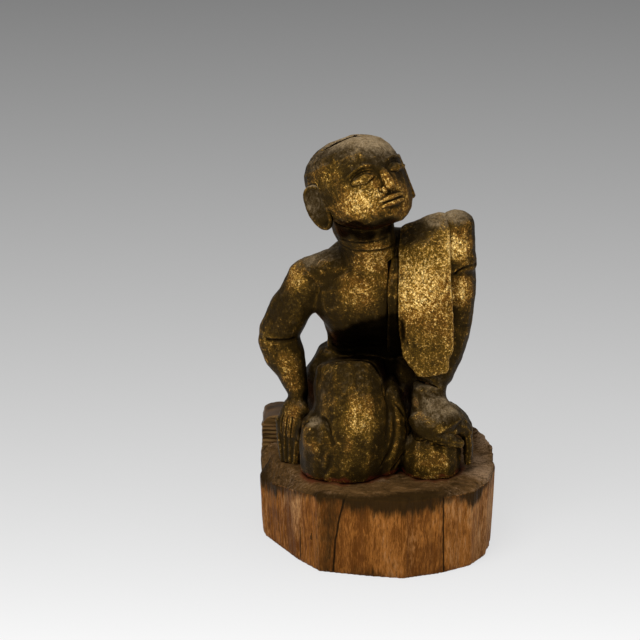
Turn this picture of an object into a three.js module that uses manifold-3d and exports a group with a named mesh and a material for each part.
// A carved and gilded wooden monk on a hewn log base. The figure rests on its knees, leans on a straight left
// arm and looks up to its left. Its carved pieces are pegged together with round teak pegs.
// Millimetres, +Z up, the front towards -Y. The origin is on the floor, in the middle of the base.
import * as THREE from 'three';
import { mergeVertices } from 'three/addons/utils/BufferGeometryUtils.js';
import Module from 'manifold-3d';

const wasm = await Module();
wasm.setup();

// Driving dimensions of the log base.
const BASE_WIDTH = 168; // left to right
const BASE_DEPTH = 142; // front to back
const BASE_HEIGHT = 62; // floor to the seat that the figure stands on
const SEAT_SHARE = 0.88; // of the plan, flat under the figure
const CHECK_WIDTH = 1.2; // drying cracks at the bark side
const CHECK_DEPTH = 12;

// Driving dimensions of the block at the back, on the figure's right.
const BLOCK_LENGTH = 44;
const BLOCK_DEPTH = 30;
const BLOCK_HEIGHT = 28;
const BLOCK_LEDGE = 56; // height of the notch that it stands in
const BLOCK_GROOVE = 1.0; // cut across its front, one above the other
const BLOCK_GROOVES = 5;
const BLOCK_ROUND = 9; // of its outer top corner

// Driving dimensions of the figure, from the seat up.
const LAP_HEIGHT = 84; // top of the draped lap
const TORSO_LENGTH = 64; // lap to the neck's root
const WAIST_SEAT = 22; // how far the torso is let down into the lap
const NECK_LENGTH = 27;
const NECK_RADIUS = 20.5;
const HIP_HALF_WIDTH = 48.5;
const WAIST_HALF_WIDTH = 31;
const CHEST_HALF_WIDTH = 44;
const CHEST_HALF_DEPTH = 22;
const UPPER_ARM_RADIUS = 14.6;
const FOREARM_RADIUS = 13.2;
const WRIST_RADIUS = 6.6;
const FINGER_RADIUS = 3.1;
const LEFT_ARM_RADIUS = 14;
const LEFT_WRIST_RADIUS = 12;

// Driving dimensions of the head, the ears and the cap let into its crown.
const HEAD_WIDTH = 68;
const HEAD_DEPTH = 68;
const HEAD_HEIGHT = 67; // chin to crown
const HEAD_TURN = 33; // degrees, towards the figure's left
const HEAD_LIFT = 25; // degrees, face upwards
const HEAD_ROLL = -9; // degrees, crown towards its right
const EAR_LENGTH = 33;
const EAR_WIDTH = 17;
const EAR_THICKNESS = 6;
const EAR_ROUND = 1.2;
const EAR_RIM = 2.8;
const EAR_HOLLOW = 1;
const EAR_FLARE = 34; // degrees, its back edge away from the head
const RIGHT_EAR_BACK = 4; // from the middle of the head towards the nape
const LEFT_EAR_BACK = -5;
const CAP_RADIUS = 19;
const CAP_DEPTH = 11; // from the crown down to its seat
const CAP_SEAM = 0.7; // open all round it
const CAP_TILT = 14; // degrees, towards the nape

// Driving dimensions of the robe.
const PANEL_HALF_WIDTH = 18.5; // the folded outer robe over the left shoulder
const PANEL_THICKNESS = 8;
const DRAPE_THICKNESS = 5; // the layer under the panel
const ROBE_RELIEF = 1.8; // the robe carved on the back

// Pegs, and the room that pieces leave each other.
const GAP = 0.3;
const PEG_CLEARANCE = 0.2;
const BODY_PEG_RADIUS = 5;
const LIMB_PEG_RADIUS = 3;
const SMALL_PEG_RADIUS = 1.8;

// Colours and finishes.
const gilt = new THREE.MeshStandardMaterial({ color: 0x7d5c22, roughness: 0.45, metalness: 0.55 });
const lacquer = new THREE.MeshStandardMaterial({ color: 0x4a3a24, roughness: 0.6, metalness: 0.1 });
const teak = new THREE.MeshStandardMaterial({ color: 0x8a5c36, roughness: 0.8, metalness: 0 });
const waxedTeak = new THREE.MeshStandardMaterial({ color: 0x5c3b1f, roughness: 0.5, metalness: 0 });
const peg = new THREE.MeshStandardMaterial({ color: 0xa47a4c, roughness: 0.8, metalness: 0 });

const V = (x, y, z) => new THREE.Vector3(x, y, z);
const mix = (a, b, t) => a + (b - a) * t;
const radians = THREE.MathUtils.degToRad;

// A closed skin over rings with the same number of points, with a fan over each end ring.
function skin(rings) {
  const sides = rings[0].length;
  const points = rings.flat();
  const ends = [rings[0], rings.at(-1)];
  for (const ring of ends) {
    points.push(ring.reduce((sum, p) => sum.add(p), V(0, 0, 0)).divideScalar(sides));
  }
  const index = [];
  const [bottom, top] = [points.length - 2, points.length - 1];
  const last = (rings.length - 1) * sides;
  for (let i = 0; i < sides; i++) {
    const j = (i + 1) % sides;
    for (let k = 0; k < last; k += sides) {
      index.push(k + i, k + j, k + sides + j, k + i, k + sides + j, k + sides + i);
    }
    index.push(bottom, j, i, top, last + i, last + j);
  }
  const geometry = new THREE.BufferGeometry().setFromPoints(points);
  geometry.setIndex(index);
  return geometry;
}

// A geometry as a solid for joining and cutting.
function solid(geometry, matrix = new THREE.Matrix4()) {
  const bare = new THREE.BufferGeometry();
  bare.setAttribute('position', geometry.getAttribute('position').clone());
  bare.setIndex(geometry.index);
  const merged = mergeVertices(bare.applyMatrix4(matrix), 1e-3);
  return new wasm.Manifold(new wasm.Mesh({
    numProp: 3,
    vertProperties: new Float32Array(merged.attributes.position.array),
    triVerts: new Uint32Array(merged.index.array),
  }));
}

const join = (...parts) => parts.reduce((a, b) => a.add(b));
const cut = (body, ...tools) => tools.reduce((a, b) => a.subtract(b), body);

// The largest body of a cut, without the crumbs that a cut can leave.
const main = (body) => body.decompose().sort((a, b) => b.volume() - a.volume())[0];

function named(name, body, material) {
  const mesh = main(body).getMesh();
  const geometry = new THREE.BufferGeometry();
  geometry.setAttribute('position', new THREE.BufferAttribute(new Float32Array(mesh.vertProperties), 3));
  geometry.setIndex(new THREE.BufferAttribute(new Uint32Array(mesh.triVerts), 1));
  const made = new THREE.Mesh(geometry, material);
  made.name = name;
  return made;
}

// One oval ring about a centre: a and b are its axes, and a fullness over 2 makes it boxy.
function oval(centre, a, b, halfWidth, halfDepth, sides, fullness) {
  const shaped = (v) => Math.sign(v) * Math.abs(v) ** (2 / fullness);
  return Array.from({ length: sides }, (_, i) => {
    const angle = (2 * Math.PI * (i + 0.5)) / sides;
    return centre.clone()
      .addScaledVector(a, halfWidth * shaped(Math.cos(angle)))
      .addScaledVector(b, halfDepth * shaped(Math.sin(angle)));
  });
}

// A carved form: ovals strung on a smooth line through its stations, [x, y, z, half width, half depth] each.
// caps are the lengths of its rounded ends. side is the way that the width lies, or a pair: at both ends.
function form(stations, options = {}) {
  const { side = V(1, 0, 0), sides = 12, steps = 2, caps = [6, 6], fullness = 2, grow = 0 } = options;
  const line = new THREE.CatmullRomCurve3(stations.map(([x, y, z]) => V(x, y, z)));
  const sizes = new THREE.CatmullRomCurve3(stations.map(([, , , w, d]) => V(w, d, 0)));
  const count = (stations.length - 1) * steps;
  const rings = [];
  const ring = (t, shrink, ahead) => {
    const along = line.getTangent(t);
    const across = Array.isArray(side) ? side[0].clone().lerp(side[1], t) : side.clone();
    const a = across.addScaledVector(along, -across.dot(along)).normalize();
    const b = along.clone().cross(a);
    const { x: w, y: d } = sizes.getPoint(t);
    const centre = line.getPoint(t).addScaledVector(along, ahead);
    return oval(centre, a, b, (w + grow) * shrink, (d + grow) * shrink, sides, fullness);
  };
  const capSteps = sides > 12 ? [0.97, 0.8, 0.45] : [0.9, 0.5];
  for (const s of capSteps) {
    rings.push(ring(0, Math.sqrt(1 - s * s), -(caps[0] + grow) * s));
  }
  for (let k = 0; k <= count; k++) {
    rings.push(ring(k / count, 1, 0));
  }
  for (const s of capSteps.toReversed()) {
    rings.push(ring(1, Math.sqrt(1 - s * s), (caps[1] + grow) * s));
  }
  return solid(skin(rings));
}

// A box by its centre and full sizes.
function box(centre, size) {
  const geometry = new THREE.BoxGeometry(size.x, size.y, size.z);
  return solid(geometry, new THREE.Matrix4().makeTranslation(centre));
}

// A round peg, or its bore when clearance is given, from one point to another.
function pin(from, to, radius, clearance = 0) {
  const length = from.distanceTo(to) + 2 * clearance;
  const geometry = new THREE.CylinderGeometry(radius + clearance, radius + clearance, length, 10);
  const turn = new THREE.Quaternion().setFromUnitVectors(V(0, 1, 0), to.clone().sub(from).normalize());
  const middle = from.clone().lerp(to, 0.5);
  return solid(geometry, new THREE.Matrix4().compose(middle, turn, V(1, 1, 1)));
}

// The log base. Its plan is a ring of hewn facets: each corner is a share of the half width and half depth,
// with the height of the rim there as a share of the seat's height.
const BASE_CORNERS = [
  [-0.98, 0.03, 0.74], [-0.69, -0.55, 0.89], [-0.5, -0.83, 0.95], [-0.1, -0.94, 0.97],
  [0.21, -1.0, 0.98], [0.54, -0.87, 0.97], [0.79, -0.7, 0.95], [0.93, -0.47, 0.97],
  [0.995, -0.15, 1.0], [1.0, 0.2, 1.06], [0.95, 0.48, 1.1], [0.84, 0.7, 1.13],
  [0.48, 0.93, 1.12], [0.0, 1.0, 1.1], [-0.48, 0.97, 1.06], [-0.8, 0.9, 1.0],
  [-0.985, 0.72, 0.95], [-1.0, 0.38, 0.9],
];

function baseForm(grow = 0) {
  const corners = BASE_CORNERS.map(([x, y, z]) => V((x * BASE_WIDTH) / 2, (y * BASE_DEPTH) / 2, z * BASE_HEIGHT));
  const ring = (share, height) => corners.map((p) => V(p.x * share, p.y * share, height(p)));
  const slope = (t) => (p) => mix(p.z, BASE_HEIGHT, t * t * (3 - 2 * t)) + grow;
  return solid(skin([
    ring(0.972, () => 0),
    ring(0.982, () => 2.5),
    ring(0.99, (p) => p.z * 0.4),
    ring(1, (p) => p.z - 2.5 + grow),
    ring(0.985, (p) => p.z + grow),
    ring(mix(1, SEAT_SHARE, 0.45), slope(0.45)),
    ring(mix(1, SEAT_SHARE, 0.75), slope(0.75)),
    ring(SEAT_SHARE, slope(1)),
    ring(0.3, slope(1)),
  ]));
}

// A drying crack: a thin wedge from the bark side towards the heart, from the top down to height.
function check(angle, lean, height) {
  const shape = new THREE.Shape([
    new THREE.Vector2(0, -CHECK_WIDTH), new THREE.Vector2(0, CHECK_WIDTH), new THREE.Vector2(-2 * CHECK_DEPTH, 0),
  ]);
  const tall = 2 * BASE_HEIGHT;
  const geometry = new THREE.ExtrudeGeometry(shape, { depth: tall, bevelEnabled: false });
  const outwards = Math.hypot(BASE_WIDTH / 2 * Math.cos(angle), BASE_DEPTH / 2 * Math.sin(angle));
  const turn = new THREE.Matrix4().makeRotationZ(angle);
  const tilt = new THREE.Matrix4().makeRotationX(lean);
  const out = new THREE.Matrix4().makeTranslation(outwards + CHECK_DEPTH * 0.55, 0, height);
  return solid(geometry, turn.multiply(out).multiply(tilt));
}

const blockCentre = V(-BASE_WIDTH / 2 + BLOCK_LENGTH / 2 + 0.8, BASE_DEPTH / 2 - 12 - BLOCK_DEPTH / 2,
  BLOCK_LEDGE + GAP + BLOCK_HEIGHT / 2);

// The block: a rounded slab that stands in a notch of the base, with its front cut by level grooves.
function blockForm() {
  const round = BLOCK_ROUND;
  const shape = new THREE.Shape();
  shape.moveTo(-BLOCK_LENGTH / 2, -BLOCK_HEIGHT / 2);
  shape.lineTo(BLOCK_LENGTH / 2, -BLOCK_HEIGHT / 2);
  shape.lineTo(BLOCK_LENGTH / 2, BLOCK_HEIGHT / 2);
  shape.lineTo(-BLOCK_LENGTH / 2 + round, BLOCK_HEIGHT / 2 - 1.5);
  shape.quadraticCurveTo(-BLOCK_LENGTH / 2, BLOCK_HEIGHT / 2 - 2, -BLOCK_LENGTH / 2, BLOCK_HEIGHT / 2 - 2 - round);
  const geometry = new THREE.ExtrudeGeometry(shape, { depth: BLOCK_DEPTH, bevelEnabled: false, curveSegments: 6 });
  const stand = new THREE.Matrix4().makeRotationX(Math.PI / 2);
  const place = new THREE.Matrix4().makeTranslation(blockCentre.x, blockCentre.y + BLOCK_DEPTH / 2, blockCentre.z);
  const slab = solid(geometry, place.multiply(stand));
  const pitch = (BLOCK_HEIGHT - 8) / (BLOCK_GROOVES + 1);
  const grooves = Array.from({ length: BLOCK_GROOVES }, (_, i) => {
    const at = V(blockCentre.x, blockCentre.y - BLOCK_DEPTH / 2, blockCentre.z - BLOCK_HEIGHT / 2 + pitch * (i + 1.5));
    const geometryOfOne = new THREE.CylinderGeometry(BLOCK_GROOVE, BLOCK_GROOVE, BLOCK_LENGTH + 4, 4);
    const lie = new THREE.Matrix4().makeRotationZ(Math.PI / 2);
    return solid(geometryOfOne, new THREE.Matrix4().makeTranslation(at).multiply(lie));
  });
  return cut(slab, ...grooves);
}

// From here on the heights are those of the figure, from the seat up.
const lapTop = LAP_HEIGHT;
const neckRoot = LAP_HEIGHT + TORSO_LENGTH;
const neckTop = neckRoot + NECK_LENGTH;
const headCentre = V(-15.5, -8, neckTop + 28);

// The lap under the lower robe: a full, pear-shaped mass over the right thigh, and the hips behind it.
function lapForm(grow = 0) {
  const thigh = form([
    [-22, -14, -8, 24, 28], [-22.5, -15, 3, 30, 34], [-22, -15, 0.2 * lapTop, 32, 36.5],
    [-17.5, -14, 0.48 * lapTop, 28, 35.5], [-18.5, -10, 0.72 * lapTop, 25.5, 30], [-20, -6, 0.87 * lapTop, 23.5, 25],
  ], { sides: 14, steps: 2, caps: [2, 0.06 * lapTop], fullness: 2.15, grow });
  const hips = form([
    [-2, 18, -8, HIP_HALF_WIDTH - 3, 33], [-2, 19, 0.3 * lapTop, HIP_HALF_WIDTH, 34],
    [-3, 16, 0.7 * lapTop, HIP_HALF_WIDTH - 1, 27], [-3, 15, 0.93 * lapTop, mix(WAIST_HALF_WIDTH, HIP_HALF_WIDTH, 0.45), 22],
  ], { sides: 14, steps: 1, caps: [4, 5], fullness: 2.2, grow });
  return join(thigh, hips);
}

// The right calf, folded back along the thigh: a full lobe that rises to a rounded crest.
function rightCalfForm(grow = 0) {
  return form([[-37, -21, -8, 12, 17], [-39, -23, 6, 15.5, 21], [-40, -24, 22, 16, 22], [-42, -23, 34, 12, 16]],
    { sides: 12, steps: 2, caps: [2, 10], grow });
}

// The left knee and the thigh that runs back from it.
function leftKneeForm(grow = 0) {
  const knee = form([[37, -17, -8, 20, 22.5], [37, -18, 10, 22, 25], [36, -16, 21, 20, 22]],
    { sides: 14, steps: 2, caps: [2, 8], fullness: 2.3, grow });
  const thigh = form([[34, -8, 12, 19, 17], [20, 14, 30, 21, 21]], { sides: 12, steps: 1, caps: [6, 8], grow });
  return join(knee, thigh);
}

// The hem that wraps the right thigh in a broad band, and the fold of the robe that hangs behind it.
function foldForm(grow = 0) {
  const hem = form([
    [0, -20, -6, 11, 15], [6, -20, 12, 12, 17], [10.5, -18.5, 31, 11.5, 16], [9, -14, 47, 10.5, 14], [3, -10, 63, 9, 11],
  ], { sides: 12, steps: 2, caps: [3, 4], fullness: 2.3, grow });
  const back = form([[18, -8, -8, 8, 17], [18, -8, 26, 7, 15], [15, -5, 56, 6, 13]],
    { sides: 8, steps: 1, caps: [3, 4], grow });
  return join(hem, back);
}

// The feet under the seat at the back: heel, arch and ball, with the sole up.
function footForm(side, grow = 0) {
  return form([
    [side * 9 - 3, 34, 11, 9, 10], [side * 10 - 3, 45, 10, 7.5, 6.5], [side * 13 - 3, 56, 8, 9.5, 6], [side * 14 - 3, 63, 7, 8.5, 4.5],
  ], { sides: 10, steps: 1, caps: [6, 3], grow });
}

const shoulder = V(-48, 4, neckRoot - 14);
const elbow = V(-69, 12, 0.44 * lapTop + 0.36 * neckRoot);
const wrist = V(-55, -4, 48);
const leftShoulder = V(53, 4, neckRoot + 18);
const leftWrist = V(34, -19, 60);

// The trunk's stations, from the waist to the neck's root.
const TRUNK = [
  [-3, 16, 0.6 * lapTop, WAIST_HALF_WIDTH, 20], [-3, 13, lapTop + 6, WAIST_HALF_WIDTH, 19],
  [-2, 8, lapTop + 20, CHEST_HALF_WIDTH - 5, CHEST_HALF_DEPTH - 1], [-1, 4, lapTop + 34, CHEST_HALF_WIDTH + 1, CHEST_HALF_DEPTH],
  [-2, 3, neckRoot - 13, CHEST_HALF_WIDTH + 1, CHEST_HALF_DEPTH - 0.5], [-5, 3, neckRoot - 3, CHEST_HALF_WIDTH - 7, 19.5],
];

// The torso, with shoulders that slope down from the neck and a slope behind it.
function torsoForm(grow = 0) {
  const upright = { side: V(0, 0, 1), sides: 12, steps: 1, grow };
  const body = form(TRUNK, { sides: 14, steps: 2, caps: [4, 6], fullness: 2.7, grow });
  const right = form([[-14, 3, neckRoot - 5, 16, 17], [-32, 3, neckRoot - 9, 15.5, 15], [shoulder.x, 4, neckRoot - 14, 14.5, 13.5]],
    { ...upright, caps: [4, 10] });
  const left = form([[-4, 2, neckRoot - 6, 15, 15], [22, 3, neckRoot, 15, 15], [leftShoulder.x - 8, 4, neckRoot + 9, 15, 15]],
    { ...upright, caps: [4, 8] });
  const nape = form([[-38, 10, neckRoot - 9, 9, 9], [-24, 9, neckRoot - 1, 12, 11], [-8, 7, neckRoot + 7, 16, 13],
    [16, 8, neckRoot + 7, 14, 12], [34, 9, neckRoot + 9, 11, 10]], { ...upright, sides: 10, caps: [5, 4] });
  return join(body, right, left, nape);
}

function neckForm(grow = 0) {
  return form([
    [-6, 5, neckRoot - 16, NECK_RADIUS + 4, NECK_RADIUS - 4], [-6, 3, neckRoot - 6, NECK_RADIUS + 5, NECK_RADIUS - 1],
    [-6.5, 0, neckRoot + 3, NECK_RADIUS + 0.5, NECK_RADIUS - 1],
    [-8, -3, mix(neckRoot, neckTop, 0.55), NECK_RADIUS - 1, NECK_RADIUS - 2], [-11, -6, neckTop, NECK_RADIUS + 1, NECK_RADIUS],
    [-13, -8, neckTop + 10, NECK_RADIUS + 2, NECK_RADIUS + 2],
  ], { sides: 14, steps: 1, caps: [2, 3], grow });
}

function upperArmForm(grow = 0) {
  const r = UPPER_ARM_RADIUS;
  return form([
    [shoulder.x, shoulder.y, shoulder.z, r - 0.5, r], [mix(shoulder.x, elbow.x, 0.5) - 1, 7, mix(shoulder.z, elbow.z, 0.5), r, r],
    [elbow.x, elbow.y, elbow.z, r - 0.6, r - 0.4],
  ], { sides: 14, steps: 2, caps: [10, 7], grow });
}

// The right forearm, hand and fingers. The fingers point down, draw together and stand on the base.
const FINGER_ROW = [[-56, -11.5], [-60.5, -8.5], [-65, -5.5], [-69, -2.5]];
const FINGERTIPS = [-62, -8];

function forearmForm(grow = 0) {
  return form([
    [elbow.x, elbow.y, elbow.z, FOREARM_RADIUS, FOREARM_RADIUS],
    [mix(elbow.x, wrist.x, 0.35), mix(elbow.y, wrist.y, 0.35), mix(elbow.z, wrist.z, 0.35), FOREARM_RADIUS, FOREARM_RADIUS - 0.8],
    [mix(elbow.x, wrist.x, 0.75), mix(elbow.y, wrist.y, 0.75), mix(elbow.z, wrist.z, 0.75), 9.4, 9],
    [wrist.x, wrist.y, wrist.z, WRIST_RADIUS + 0.4, WRIST_RADIUS],
  ], { sides: 12, steps: 2, caps: [9, 3], grow });
}

function rightHandForm(grow = 0) {
  const across = V(-0.82, 0.57, 0);
  const palm = form([
    [wrist.x, wrist.y, wrist.z, WRIST_RADIUS, WRIST_RADIUS - 0.5], [-58, -6, 42, 9.4, 6.4], [-60.5, -6.5, 32, 10.6, 5.6],
    [-62.5, -7, 22, 10.4, 4.4],
  ], { side: across, sides: 12, steps: 1, caps: [3, 3], fullness: 2.3, grow });
  const fingers = FINGER_ROW.map(([x, y]) => form([
    [x, y, 30, FINGER_RADIUS + 0.5, FINGER_RADIUS + 0.4],
    [mix(x, FINGERTIPS[0], 0.08), mix(y, FINGERTIPS[1], 0.08), 16, FINGER_RADIUS, FINGER_RADIUS],
    [mix(x, FINGERTIPS[0], 0.45), mix(y, FINGERTIPS[1], 0.45), -8, FINGER_RADIUS - 0.6, FINGER_RADIUS - 0.6],
  ], { side: across, sides: 6, steps: 1, caps: [3, 3], grow }));
  const thumb = form([[-52.5, -9, 44, 4.2, 4.2], [-51.5, -14, 34, 3.9, 3.9], [-54.5, -17, 22, 3.2, 3.2]],
    { sides: 8, steps: 1, caps: [3, 3], grow });
  return join(palm, thumb, ...fingers);
}

// The left arm in its sleeve, with the shoulder of the robe lying over it down to a hem.
function leftArmForm(grow = 0) {
  const r = LEFT_ARM_RADIUS;
  const arm = form([
    [leftShoulder.x - 1, 4, leftShoulder.z, r, r], [leftShoulder.x + 1.5, 4, mix(leftShoulder.z, leftWrist.z, 0.35), r, r],
    [leftShoulder.x - 2.5, -3, mix(leftShoulder.z, leftWrist.z, 0.66), r, r - 0.5],
    [leftShoulder.x - 12, -13, mix(leftShoulder.z, leftWrist.z, 0.9), LEFT_WRIST_RADIUS + 0.5, 11],
    [leftWrist.x, leftWrist.y, leftWrist.z + 4, LEFT_WRIST_RADIUS, 10],
  ], { sides: 12, steps: 2, caps: [10, 0.5], fullness: 2.3, grow });
  const cape = form([
    [leftShoulder.x + 1.5, 4, leftShoulder.z + 7.5, r - 2.5, r + 1], [leftShoulder.x, 4, leftShoulder.z - 12, r + 0.6, r + 1.5],
    [leftShoulder.x + 0.7, 4, leftShoulder.z - 24, r + 1, r + 1.5],
  ], { sides: 12, steps: 1, caps: [8, 1], fullness: 2.9, grow });
  return join(arm, cape);
}

// The left hand presses on the knee: a thick wrist, a broad back whose front edge is the thumb, and fingers bent
// down over the far side.
const LEFT_FINGER_ROWS = [-26, -18, -10, -2];

function leftHandForm(grow = 0) {
  const hand = form([
    [leftWrist.x + 1.5, leftWrist.y, leftWrist.z + 3, LEFT_WRIST_RADIUS + 0.6, 10], [35.5, -20, 54, 11.8, 10.5],
    [37, -23.5, 45, 15.5, 14.5], [40.5, -25.5, 38.5, 18.5, 17.5], [42.5, -26, 34.5, 19.5, 18],
  ], { side: [V(1, 0, 0), V(0.9, 0, -0.44)], sides: 14, steps: 2, caps: [1, 3.5], fullness: 2.5, grow });
  const knuckles = form([
    [44, -21, 39, 17, 9], [54, -16, 36.5, 17.5, 8], [60, -13, 31, 16.5, 6.5],
  ], { side: V(0, 1, 0), sides: 12, steps: 1, caps: [5, 3], fullness: 2.6, grow });
  const thumb = form([[24, -31, 43, 6, 6], [30, -36.5, 36, 5, 6.5], [40, -38.5, 30.5, 4.4, 6], [50, -37, 27, 3.8, 5], [57, -34, 24.5, 3.2, 4]],
    { side: V(0, 0, 1), sides: 8, steps: 1, caps: [4, 2.5], fullness: 2.4, grow });
  const fingers = LEFT_FINGER_ROWS.map((y, i) => form([
    [55, y, 36, FINGER_RADIUS + 1, FINGER_RADIUS + 0.6], [62, y, 31, FINGER_RADIUS + 1, FINGER_RADIUS + 0.5],
    [63.8, y, 20, FINGER_RADIUS + 0.8, FINGER_RADIUS + 0.2], [63.4, y + 1, 7 + 2.5 * i, FINGER_RADIUS, FINGER_RADIUS],
  ], { side: V(0, 1, 0), sides: 6, steps: 1, caps: [3, 3], grow }));
  return join(hand, knuckles, thumb, ...fingers);
}

// The layer of robe across the left of the chest, and the folded panel that hangs over it.
function drapeForm(grow = 0) {
  const d = DRAPE_THICKNESS / 2;
  return form([
    [17, -9, lapTop, 11, d], [17, -17, lapTop + 22, 11.5, d], [17, -20, lapTop + 44, 11.5, d], [17, -14, neckRoot + 1, 11, d],
    [18, 0, neckRoot + 9, 10, d], [20, 16, neckRoot + 2, 11, d], [22, 24, lapTop + 40, 12, d], [22, 25, lapTop + 10, 12, d],
  ], { sides: 8, steps: 1, caps: [2, 2], fullness: 3, grow });
}

function panelForm(grow = 0) {
  const w = PANEL_HALF_WIDTH;
  const d = PANEL_THICKNESS / 2;
  const front = form([
    [36, -27, lapTop - 8, w * 0.62, d], [34, -25, lapTop + 4, w * 0.97, d + 0.5], [32, -22, lapTop + 28, w + 1, d + 1],
    [31, -19, neckRoot - 10, w, d + 1], [31, -13, neckRoot + 12, w - 0.5, d + 1], [32, 0, neckRoot + 23.5, w - 1, d + 0.5],
  ], { side: [V(1, 0, -0.3), V(1, 0, 0.36)], sides: 10, steps: 2, caps: [5, 4], fullness: 3.4, grow });
  const back = form([
    [32, 0, neckRoot + 23.5, w - 1, d + 0.5], [32, 14, neckRoot + 16, w - 1, d], [32, 24, neckRoot - 4, w - 1, d],
    [31, 29, lapTop + 36, w, d], [30, 31, lapTop + 8, w * 0.9, d],
  ], { side: [V(1, 0, 0.36), V(1, 0, 0)], sides: 10, steps: 2, caps: [4, 4], fullness: 3.4, grow });
  return join(front, back);
}

// The head in its own frame: its centre between the ears, its face towards -Y.
// Each level is [height, half width, face, nape] as shares of half the head's height, width and depth.
const HEAD_LEVELS = [
  [-1.0, 0.3, -0.8, -0.35], [-0.9, 0.55, -0.92, -0.12], [-0.68, 0.8, -0.98, 0.25], [-0.4, 0.93, -1.0, 0.6],
  [-0.1, 0.99, -0.985, 0.85], [0.2, 1.0, -0.98, 0.96], [0.48, 0.95, -0.93, 0.95], [0.72, 0.8, -0.78, 0.82],
  [0.89, 0.56, -0.54, 0.62], [0.98, 0.26, -0.25, 0.34],
];

const HEAD_SIDES = 22;

function skullForm(grow = 0) {
  const levels = HEAD_LEVELS.map(([z, w, face, nape]) => V(w * HEAD_WIDTH / 2, face * HEAD_DEPTH / 2, nape * HEAD_DEPTH / 2));
  const heights = HEAD_LEVELS.map(([z]) => V(z * (HEAD_HEIGHT / 2 + grow), 0, 0));
  const sizeLine = new THREE.CatmullRomCurve3(levels);
  const heightLine = new THREE.CatmullRomCurve3(heights);
  const count = HEAD_LEVELS.length + 3;
  const rings = Array.from({ length: count + 1 }, (_, k) => {
    const { x: half, y: face, z: nape } = sizeLine.getPoint(k / count);
    const z = heightLine.getPoint(k / count).x;
    const widest = mix(face, nape, 0.52);
    return Array.from({ length: HEAD_SIDES }, (_, i) => {
      const angle = (2 * Math.PI * (i + 0.5)) / HEAD_SIDES;
      const y = Math.sin(angle);
      const reach = y < 0 ? widest - face + grow : nape - widest + grow;
      return V((half + grow) * Math.cos(angle), widest + reach * y, z);
    });
  });
  return solid(skin(rings));
}

// A calm, plain face: brows, closed lids, nose, lips and chin on even thirds.
function faceForms() {
  const w = HEAD_WIDTH / 2;
  const d = HEAD_DEPTH / 2;
  const h = HEAD_HEIGHT / 2;
  const level = V(0, 0, 1);
  const nose = form([[0, -d + 1.5, 0.18 * h, 2.6, 2.5], [0, -d - 1, -0.06 * h, 3.1, 3.5], [0, -d - 3, -0.27 * h, 4.2, 4]],
    { sides: 8, steps: 2, caps: [3, 3] });
  const twins = [-1, 1].flatMap((s) => [
    form([[s * 2.5, -d + 1.4, 0.18 * h, 1.3, 1.6], [s * 0.38 * w, -d + 1, 0.27 * h, 1.5, 1.8], [s * 0.68 * w, -0.78 * d, 0.17 * h, 1.1, 1.4]],
      { side: level, sides: 6, steps: 2, caps: [1, 1] }),
    form([[s * 0.2 * w, -d + 3, 0.01 * h, 1.8, 2], [s * 0.4 * w, -d + 2.6, 0.02 * h, 3.2, 3.2], [s * 0.61 * w, -0.83 * d, 0.01 * h, 1.6, 2.2]],
      { side: level, sides: 8, steps: 1, caps: [2, 2] }),
    form([[s * 3.2, -d + 0.8, -0.33 * h, 2.2, 2.6], [s * 3.9, -d - 0.5, -0.31 * h, 2.1, 2.3]], { sides: 6, steps: 1, caps: [1.5, 1.5] }),
  ]);
  const lip = (z, r, out, reach) => form([
    [-reach * w, -0.95 * d, z * h, 0.7, 0.9], [0, -d - out, (z + 0.005) * h, r, r], [reach * w, -0.95 * d, z * h, 0.7, 0.9],
  ], { side: level, sides: 8, steps: 2, caps: [1, 1] });
  const chin = form([[0, -0.8 * d, -0.8 * h, 7, 6], [0, -0.84 * d, -0.72 * h, 7, 6]], { sides: 10, steps: 1, caps: [5, 5] });
  return [nose, ...twins, lip(-0.51, 2.1, 0.7, 0.29), lip(-0.62, 2.4, 0.2, 0.25), chin];
}

// An ear is a long slab with a hollow in its outer face, bedded in the side of the head.
const earRoot = (side) => V(side * (HEAD_WIDTH / 2 - 2.2), side < 0 ? RIGHT_EAR_BACK : LEFT_EAR_BACK, -2);

// Half of the ear's outline is the helix at the top, and the rest runs down to the lobe.
function earOutline(inset) {
  const [l, w] = [EAR_LENGTH, EAR_WIDTH];
  const shape = new THREE.Shape();
  shape.moveTo(-w / 2 + inset, 0.2 * l);
  shape.bezierCurveTo(-w / 2 + inset, 0.42 * l, -w / 4, 0.5 * l - inset, 0.05 * w, 0.5 * l - inset);
  shape.bezierCurveTo(0.42 * w - inset, 0.48 * l - inset, w / 2 - inset, 0.3 * l, w / 2 - inset, 0.1 * l);
  shape.bezierCurveTo(w / 2 - inset, -0.15 * l, 0.3 * w - inset, -0.5 * l + inset, -0.05 * w, -0.5 * l + inset);
  shape.bezierCurveTo(-0.3 * w, -0.5 * l + inset, -w / 2 + inset, -0.3 * l, -w / 2 + inset, 0.2 * l);
  return shape;
}

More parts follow.
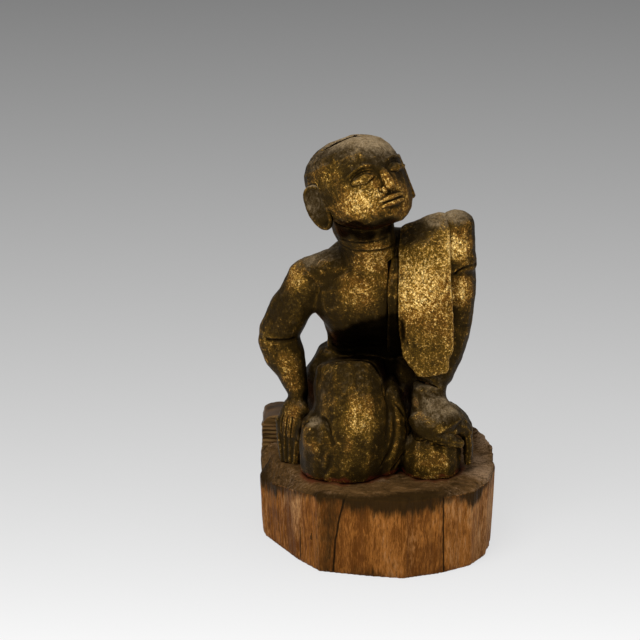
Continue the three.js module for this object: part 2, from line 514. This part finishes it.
// A slab in the ear's outline, from one distance off the head to another, placed at the side of the head.
function earSlab(side, inset, near, far, bevel, grow = 0) {
  const geometry = new THREE.ExtrudeGeometry(earOutline(inset + bevel), {
    depth: far - near - 2 * bevel + 2 * grow, bevelEnabled: bevel > 0, bevelThickness: bevel, bevelSize: bevel + grow,
    bevelSegments: 1, curveSegments: 4,
  }).translate(0, 0, near + bevel - grow);
  // The outline's x runs to the back of the head and its y runs up. The slab grows away from the head.
  const basis = new THREE.Matrix4().makeBasis(V(0, 1, 0), V(0, 0, 1), V(1, 0, 0));
  const flare = new THREE.Matrix4().makeRotationZ(-radians(EAR_FLARE));
  const mirror = new THREE.Matrix4().makeScale(side, 1, 1);
  const root = earRoot(side);
  const place = new THREE.Matrix4().makeTranslation(root.x, root.y, root.z - 0.12 * EAR_LENGTH);
  const toHead = place.multiply(mirror).multiply(flare).multiply(basis);
  return solid(side > 0 ? geometry : flipped(geometry), toHead);
}

const earForm = (side) => cut(
  earSlab(side, 0, 0, EAR_THICKNESS, EAR_ROUND),
  earSlab(side, EAR_RIM, EAR_THICKNESS - EAR_HOLLOW, EAR_THICKNESS + 2, 0),
);
const earBed = (side) => moved(earSlab(side, 0, 0, EAR_THICKNESS, EAR_ROUND, GAP), headFrame);

// The same geometry with its faces turned round, for a mirrored copy.
function flipped(geometry) {
  const plain = geometry.index ? geometry.toNonIndexed() : geometry;
  const copy = new THREE.BufferGeometry();
  const from = plain.getAttribute('position').array;
  const to = new Float32Array(from.length);
  for (let i = 0; i < from.length; i += 9) {
    to.set(from.subarray(i, i + 3), i);
    to.set(from.subarray(i + 6, i + 9), i + 3);
    to.set(from.subarray(i + 3, i + 6), i + 6);
  }
  copy.setAttribute('position', new THREE.BufferAttribute(to, 3));
  return mergeVertices(copy, 1e-4);
}

// The head's frame in the figure's.
const headFrame = new THREE.Matrix4().compose(
  headCentre,
  new THREE.Quaternion().setFromEuler(new THREE.Euler(-radians(HEAD_LIFT), radians(HEAD_ROLL), radians(HEAD_TURN), 'ZXY')),
  V(1, 1, 1),
);

function moved(body, matrix) {
  const mesh = body.getMesh();
  const geometry = new THREE.BufferGeometry();
  geometry.setAttribute('position', new THREE.BufferAttribute(new Float32Array(mesh.vertProperties), 3));
  geometry.setIndex(new THREE.BufferAttribute(new Uint32Array(mesh.triVerts), 1));
  return solid(geometry, matrix);
}

// The half of space above a height.
const above = (height) => box(V(0, 0, height + 200), V(400, 400, 400));
const inHead = (x, y, z) => V(x, y, z).applyMatrix4(headFrame);

// The pegs across the joints: [name, from, to, radius]. Each is cut as a bore from the pieces on both sides.
const waist = lapTop - WAIST_SEAT;
const PEGS = {
  base: [[-30, -8], [24, -6], [0, 30]].map(([x, y]) => [V(x, y, -24), V(x, y, 16), BODY_PEG_RADIUS]),
  waist: [-18, 14].map((x) => [V(x, 15, waist - 16), V(x, 14, waist + 16), BODY_PEG_RADIUS]),
  neck: [[V(-9, -1, neckRoot + 2), headCentre.clone().add(V(4, 2, -8)), BODY_PEG_RADIUS]],
  right_shoulder: [[shoulder.clone().add(V(16, 0, 2)), shoulder.clone().add(V(-4, 0, -3)), LIMB_PEG_RADIUS]],
  right_elbow: [[elbow.clone().add(V(1, 0, 14)), elbow.clone().lerp(wrist, 0.42), LIMB_PEG_RADIUS]],
  left_shoulder: [[leftShoulder.clone().add(V(-22, 0, -10)), leftShoulder.clone().add(V(1, 0, -6)), LIMB_PEG_RADIUS]],
  left_wrist: [[leftWrist.clone().add(V(3, 3, 16)), leftWrist.clone().add(V(1, 0, -10)), LIMB_PEG_RADIUS]],
  right_ear: [[inHead(-HEAD_WIDTH / 2 + 8, RIGHT_EAR_BACK, -4), inHead(-HEAD_WIDTH / 2 - 1, RIGHT_EAR_BACK, -4), SMALL_PEG_RADIUS]],
  left_ear: [[inHead(HEAD_WIDTH / 2 - 8, LEFT_EAR_BACK, -4), inHead(HEAD_WIDTH / 2 + 1, LEFT_EAR_BACK, -4), SMALL_PEG_RADIUS]],
};
const pegs = (joint) => PEGS[joint].map(([from, to, radius]) => pin(from, to, radius));
const bores = (...joints) => joints.flatMap((joint) => (
  PEGS[joint].map(([from, to, radius]) => pin(from, to, radius, PEG_CLEARANCE))
));

// The room in the crown for its cap: a round seat, open at the top.
function capSeat(grow = 0) {
  const tall = 2 * CAP_DEPTH;
  const geometry = new THREE.CylinderGeometry(CAP_RADIUS + grow, CAP_RADIUS + grow, tall + grow, 20);
  const stand = new THREE.Matrix4().makeRotationX(radians(90 - CAP_TILT));
  const out = new THREE.Matrix4().makeTranslation(0, HEAD_HEIGHT / 2 - CAP_DEPTH + (tall - grow) / 2, 0);
  return solid(geometry, stand.multiply(out));
}

// The robe carved on the back: the trunk a little thicker, below a line from the neck to the right armpit.
function backRobeForm(grow = 0) {
  const [low, high] = [V(shoulder.x + 2, 0, lapTop + 34), V(12, 0, neckRoot + 6)];
  const hem = high.clone().sub(low);
  const place = new THREE.Matrix4().makeTranslation((low.x + high.x) / 2, 106, (low.z + high.z) / 2);
  const turn = new THREE.Matrix4().makeRotationY(-Math.atan2(hem.z, hem.x));
  const below = new THREE.BoxGeometry(400, 200, 200).translate(0, 0, -100 + grow);
  const thick = form(TRUNK, { sides: 14, steps: 2, caps: [4, 6], fullness: 2.7, grow: ROBE_RELIEF + grow });
  return thick.intersect(solid(below, place.multiply(turn)));
}

const legs = (grow = 0) => join(
  lapForm(grow), rightCalfForm(grow), leftKneeForm(grow), foldForm(grow), footForm(-1, grow), footForm(1, grow),
);
const trunk = (grow = 0) => join(torsoForm(grow), neckForm(grow), backRobeForm(grow)).intersect(above(waist - grow));
const headForms = (grow = 0) => moved(skullForm(grow), headFrame);
const rightForearm = (grow = 0) => join(forearmForm(grow), rightHandForm(grow));

const pieces = new THREE.Group();
pieces.name = 'figure';
pieces.position.set(0, 0, BASE_HEIGHT + GAP);

const add = (name, body, material) => pieces.add(named(name, body, material));
const blockBed = box(
  blockCentre.clone().setZ(blockCentre.z - pieces.position.z),
  V(BLOCK_LENGTH + 2 * GAP, BLOCK_DEPTH + 2 * GAP, BLOCK_HEIGHT + 2 * GAP),
);
const baseRim = moved(baseForm(GAP), new THREE.Matrix4().makeTranslation(0, 0, -pieces.position.z));

add('lower_body', cut(legs(), baseRim, blockBed, trunk(GAP), leftHandForm(GAP), rightForearm(GAP), panelForm(GAP),
  leftArmForm(GAP), ...bores('base', 'waist')), gilt);
add('torso', cut(trunk(), drapeForm(GAP), panelForm(GAP), upperArmForm(GAP), leftArmForm(GAP), headForms(GAP),
  ...bores('waist', 'neck', 'right_shoulder', 'left_shoulder')), gilt);
add('robe_drape', cut(drapeForm(), panelForm(GAP), leftArmForm(GAP), headForms(GAP), legs(GAP)), lacquer);
add('robe_panel', cut(panelForm(), headForms(GAP)), gilt);
add('right_upper_arm', cut(upperArmForm(), ...bores('right_shoulder', 'right_elbow')), gilt);
add('right_forearm', cut(rightForearm(), baseRim, upperArmForm(GAP), ...bores('right_elbow')), gilt);
add('left_arm', cut(leftArmForm(), panelForm(GAP), ...bores('left_shoulder', 'left_wrist')), gilt);
add('left_hand', cut(leftHandForm(), leftArmForm(GAP), panelForm(GAP), ...bores('left_wrist')), gilt);

const cap = moved(skullForm().intersect(capSeat()), headFrame);
const ears = { right_ear: moved(earForm(-1), headFrame), left_ear: moved(earForm(1), headFrame) };
add('head', cut(moved(join(skullForm(), ...faceForms()), headFrame), moved(capSeat(CAP_SEAM), headFrame), earBed(-1), earBed(1),
  ...bores('neck', 'right_ear', 'left_ear')), gilt);
add('crown_cap', cap, lacquer);
add('right_ear', cut(ears.right_ear, ...bores('right_ear')), gilt);
add('left_ear', cut(ears.left_ear, ...bores('left_ear')), gilt);
for (const joint of Object.keys(PEGS)) {
  pegs(joint).forEach((body, i) => add(PEGS[joint].length > 1 ? `${joint}_peg_${i + 1}` : `${joint}_peg`, body, peg));
}

// The base and its block stand in the figure's own frame on the floor.
const BLOCK_PEGS = [-12, 12].map((x) => [
  V(blockCentre.x + x, blockCentre.y, BLOCK_LEDGE - 14), V(blockCentre.x + x, blockCentre.y, BLOCK_LEDGE + 16), LIMB_PEG_RADIUS,
]);
const blockBores = BLOCK_PEGS.map(([from, to, radius]) => pin(from, to, radius, PEG_CLEARANCE));
const notch = box(
  V(blockCentre.x - 5, blockCentre.y + 10, BLOCK_LEDGE + 50),
  V(BLOCK_LENGTH + 10 + 2 * GAP, BLOCK_DEPTH + 20 + 2 * GAP, 100),
);
const seatBores = PEGS.base.map(([from, to, radius]) => (
  pin(from.clone().setZ(from.z + pieces.position.z), to.clone().setZ(to.z + pieces.position.z), radius, PEG_CLEARANCE)
));
const checks = [check(radians(-114), radians(-8), 4), check(radians(-54.5), 0, -20), check(radians(-144), 0, 8)];

const monk = new THREE.Group();
monk.name = 'monk_statue';
monk.add(
  named('log_base', cut(baseForm(), notch, ...checks, ...seatBores, ...blockBores), teak),
  named('rear_block', cut(blockForm(), ...blockBores), waxedTeak),
  ...BLOCK_PEGS.map(([from, to, radius], i) => named(`block_peg_${i + 1}`, pin(from, to, radius), peg)),
  pieces,
);

export default monk;
